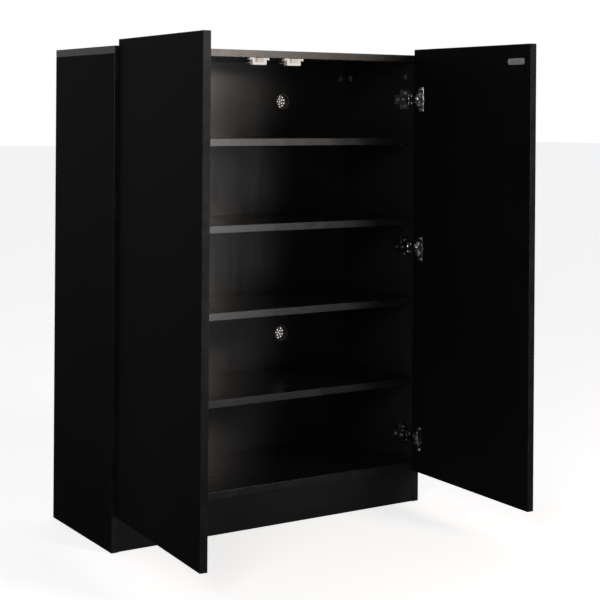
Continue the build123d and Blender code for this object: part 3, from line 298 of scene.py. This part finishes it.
# Painted shade: a darker copy of the hinges' nickel plate, with the same drawn lines and gloss, put
# on the mounting plates and hinge arms to stand in for shade on them.
painted_shade_plate = plated("painted_shade_nickel_plate", (0.30, 0.30, 0.30), (0.44, 0.43, 0.42), 0.12,
                    DRAWN_LINES)
NODE_FINISH = {
    "left_door_edge_band": door_band,
    "right_door_edge_band": door_band,
    "mounting_plates": painted_shade_plate,
    "back_panel": inside_board,
    "side_panel_right": side_board,
    "kick_panel": kick_board,
    "top_panel": flat_board,
    "bottom_panel": flat_board,
}
SHELVES = 4
for shelf_number in range(1, SHELVES + 1):
    NODE_FINISH[f"shelf_{shelf_number}"] = flat_board
# the hinge arms take the darker plate with painted shade
for arm_side in ("left", "right"):
    for arm_level in ("upper", "middle", "lower"):
        NODE_FINISH[f"{arm_side}_hinge_arm_{arm_level}"] = painted_shade_plate

for entry in frame["record"]["subparts"]:
    node = frame["nodes"][entry["node"]]
    chosen = NODE_FINISH.get(entry["node"], SLOT_FINISH[entry["material_slot"]])
    for material_slot in node.material_slots:
        material_slot.material = chosen

# ---- softened edges on pressed, cast and moulded pieces ----------------------------------
WELD_DISTANCE = 0.002 * MILLIMETRE
SHARP_ANGLE = math.radians(38.0)
ROUND_SEGMENTS = 2
SOFTENED = {
    "hinge_steel": 0.30 * MILLIMETRE,
    "plated_screws": 0.18 * MILLIMETRE,
    "zinc_fittings": 0.20 * MILLIMETRE,
    "vent_metal": 0.20 * MILLIMETRE,
    "catch_plastic": 0.35 * MILLIMETRE,
    "catch_steel": 0.22 * MILLIMETRE,
}


def soften(node, width):
    """Join a node's facets and round its sharp edges by width."""
    weld = node.modifiers.new("weld", "WELD")
    weld.merge_threshold = WELD_DISTANCE
    bevel = node.modifiers.new("edge_round", "BEVEL")
    bevel.limit_method = "ANGLE"
    bevel.angle_limit = SHARP_ANGLE
    bevel.width = width
    bevel.segments = ROUND_SEGMENTS
    bevel.harden_normals = True


for entry in frame["record"]["subparts"]:
    if entry["material_slot"] in SOFTENED:
        soften(frame["nodes"][entry["node"]], SOFTENED[entry["material_slot"]])


# ---- springs: each gets mesh data of its own ---------------------------------------------
for spring_side in ("left", "right"):
    spring = frame["nodes"][f"catch_spring_{spring_side}"]
    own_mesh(spring)


# ---- floor -------------------------------------------------------------------------------
def make_floor():
    """A large pale floor just under the cabinet; it glows, and reflections and shadows miss it."""
    half = FLOOR_SIZE / 2
    mesh = bpy.data.meshes.new("floor")
    corners = [(-half, -half, 0.0), (half, -half, 0.0), (half, half, 0.0), (-half, half, 0.0)]
    mesh.from_pydata(corners, [], [(0, 1, 2, 3)])
    floor = bpy.data.objects.new("floor", mesh)
    floor.location.z = cad_low.z - FLOOR_DROP
    bpy.context.scene.collection.objects.link(floor)
    paint = Finish("floor_paint").set(Roughness=0.9, **{
        "Specular IOR Level": 0.1,
        "Emission Color": (1.0, 1.0, 1.0, 1.0),
        "Emission Strength": FLOOR_GLOW,
    })
    paint.colour(paint.ramp(paint.noise(scale=1.5, detail=3.0), FLOOR_DARK, FLOOR_LIGHT))
    mesh.materials.append(paint.material)
    floor.visible_glossy = False
    floor.visible_shadow = False


make_floor()


# ---- light and camera --------------------------------------------------------------------
def make_world():
    """A dim studio surround, lightest at the horizon and stronger behind the cabinet."""
    world = bpy.data.worlds.new("studio")
    world.use_nodes = True
    tree = world.node_tree
    place = tree.nodes.new("ShaderNodeTexCoord")
    split = tree.nodes.new("ShaderNodeSeparateXYZ")
    height = tree.nodes.new("ShaderNodeMapRange")
    height.inputs["From Min"].default_value = -1.0
    height.inputs["From Max"].default_value = 1.0
    ramp = tree.nodes.new("ShaderNodeValToRGB")
    ramp.color_ramp.elements[0].position = WORLD_LOW_AT
    ramp.color_ramp.elements[0].color = (*WORLD_LOW, 1.0)
    ramp.color_ramp.elements[1].position = WORLD_HORIZON_AT
    ramp.color_ramp.elements[1].color = (*WORLD_HORIZON, 1.0)
    ramp.color_ramp.elements.new(1.0).color = (*WORLD_HIGH, 1.0)
    tree.links.new(place.outputs["Generated"], split.inputs["Vector"])
    tree.links.new(split.outputs["Z"], height.inputs["Value"])
    tree.links.new(height.outputs["Result"], ramp.inputs["Fac"])
    tree.links.new(ramp.outputs["Color"], tree.nodes["Background"].inputs["Color"])
    share = tree.nodes.new("ShaderNodeMapRange")
    share.inputs["From Min"].default_value = WORLD_SHARE_START
    share.inputs["From Max"].default_value = WORLD_SHARE_END
    share.inputs["To Min"].default_value = WORLD_FRONT
    share.inputs["To Max"].default_value = WORLD_BEHIND
    tree.links.new(split.outputs["Y"], share.inputs["Value"])
    tree.links.new(share.outputs["Result"], tree.nodes["Background"].inputs["Strength"])
    bpy.context.scene.world = world


def make_dome():
    """A white backdrop that only the camera sees, so it throws no light on the cabinet."""
    mesh = bpy.data.meshes.new("backdrop")
    shape = bmesh.new()
    bmesh.ops.create_icosphere(shape, subdivisions=DOME_SUBDIVISIONS, radius=DOME_RADIUS)
    shape.to_mesh(mesh)
    shape.free()
    dome = bpy.data.objects.new("backdrop", mesh)
    bpy.context.scene.collection.objects.link(dome)
    dome.visible_diffuse = False
    dome.visible_glossy = False
    dome.visible_transmission = False
    dome.visible_shadow = False
    paint = Finish("backdrop_paint").set(Roughness=1.0, **{
        "Base Color": (0.0, 0.0, 0.0, 1.0),
        "Specular IOR Level": 0.0,
        "Emission Color": (*DOME_COLOUR, 1.0),
        "Emission Strength": 1.0,
    })
    mesh.materials.append(paint.material)


def make_light(name, place, aim, width, height, radiance, colour):
    """A rectangular softbox turned towards a point."""
    lamp = bpy.data.lights.new(name, "AREA")
    lamp.shape = "RECTANGLE"
    lamp.size = width
    lamp.size_y = height
    lamp.energy = radiance * math.pi * width * height
    lamp.color = colour
    holder = bpy.data.objects.new(name, lamp)
    holder.location = place
    direction = Vector(aim) - Vector(place)
    holder.rotation_euler = direction.to_track_quat("-Z", "Y").to_euler()
    bpy.context.scene.collection.objects.link(holder)


def make_camera():
    """A shifted lens that keeps the cabinet's uprights parallel."""
    lens = bpy.data.cameras.new("camera")
    lens.sensor_width = SENSOR
    lens.lens = CAMERA_LENS
    lens.shift_x, lens.shift_y = CAMERA_SHIFT
    camera = bpy.data.objects.new("camera", lens)
    turn = Euler((0.0, 0.0, CAMERA_YAW)).to_matrix().to_4x4()
    tilt = Matrix.Rotation(math.pi / 2 + CAMERA_PITCH, 4, "X")
    roll = Matrix.Rotation(CAMERA_ROLL, 4, "Z")
    camera.matrix_world = Matrix.Translation(CAMERA_PLACE) @ turn @ tilt @ roll
    bpy.context.scene.collection.objects.link(camera)
    bpy.context.scene.camera = camera


make_world()
make_dome()
for light_name, settings in LIGHTS.items():
    make_light(light_name, *settings)
make_camera()
bpy.context.scene.view_settings.view_transform = "Standard"
